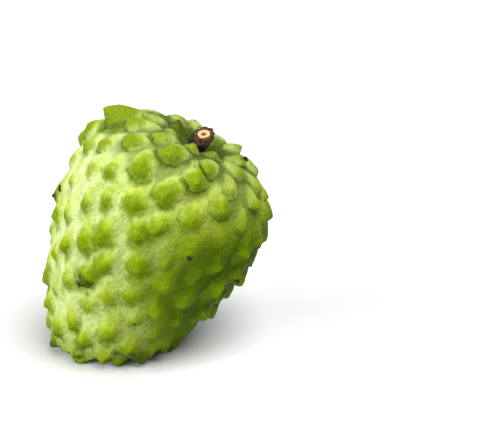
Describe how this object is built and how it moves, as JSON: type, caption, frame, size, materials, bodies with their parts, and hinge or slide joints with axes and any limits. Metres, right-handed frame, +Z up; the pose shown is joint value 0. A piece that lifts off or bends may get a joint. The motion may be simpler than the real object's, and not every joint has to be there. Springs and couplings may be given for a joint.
{
  "type": "atemoya",
  "caption": "Whole heart-shaped atemoya fruit with blunt noses all over its green skin and a cut woody stalk stub, standing on its flattened blossom end.",
  "frame": {"origin": "on the surface the fruit stands on, under the middle of its box", "axes": "+Z up, the fruit leans to +X so that its stalk is on the +X side, and the side seen from -Y is the one in the picture"},
  "size_m": [0.1092, 0.1006, 0.1177],
  "materials": {
    "skin": "satin green fruit skin with a pale bloom between the noses",
    "stalk_wood": "rough brown bark with a pale cut end"
  },
  "bodies": {
    "root": {"fruit": "skin", "stalk": "stalk_wood"}
  },
  "joints": []
}
